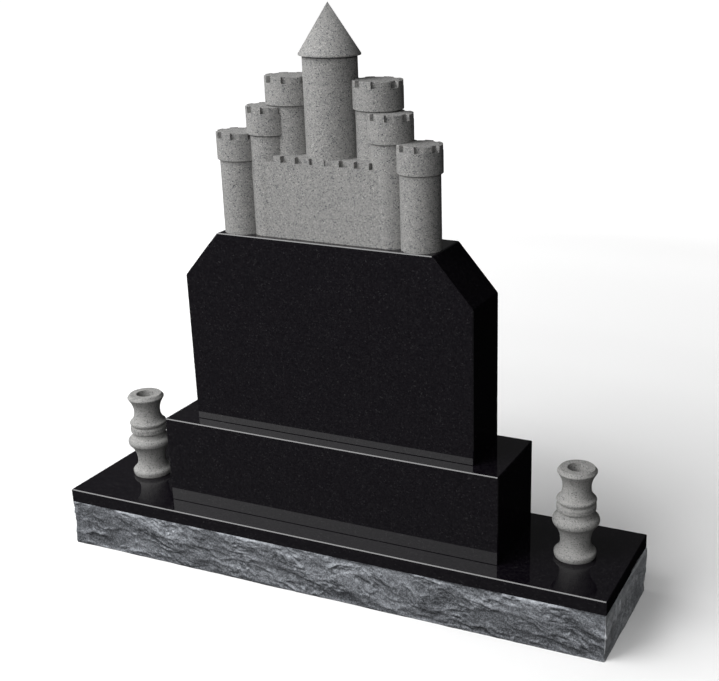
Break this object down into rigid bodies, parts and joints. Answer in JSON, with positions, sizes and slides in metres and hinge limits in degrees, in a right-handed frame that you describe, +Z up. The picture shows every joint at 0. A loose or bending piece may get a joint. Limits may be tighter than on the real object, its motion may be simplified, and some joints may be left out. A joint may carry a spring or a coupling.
{
  "type": "castle top headstone",
  "caption": "Upright stone memorial with a carved castle standing on a tablet with cut shoulders, on a plinth and a wide rock pitched base with a flower vase at each end.",
  "frame": {"origin": "on the ground under the middle of the base", "axes": "+Z up, front face towards -Y, +X to the right of someone facing the front"},
  "size_m": [1.4952, 0.3534, 1.4121],
  "materials": {
    "black_granite": "polished black granite; the sides of the base are rock pitched below the polished band",
    "grey_granite": "fine grey granite, sawn and turned, not polished"
  },
  "bodies": {
    "root": {"base": "black_granite", "plinth": "black_granite", "tablet": "black_granite", "castle": "grey_granite", "vase_left": "grey_granite", "vase_right": "grey_granite"}
  },
  "joints": []
}
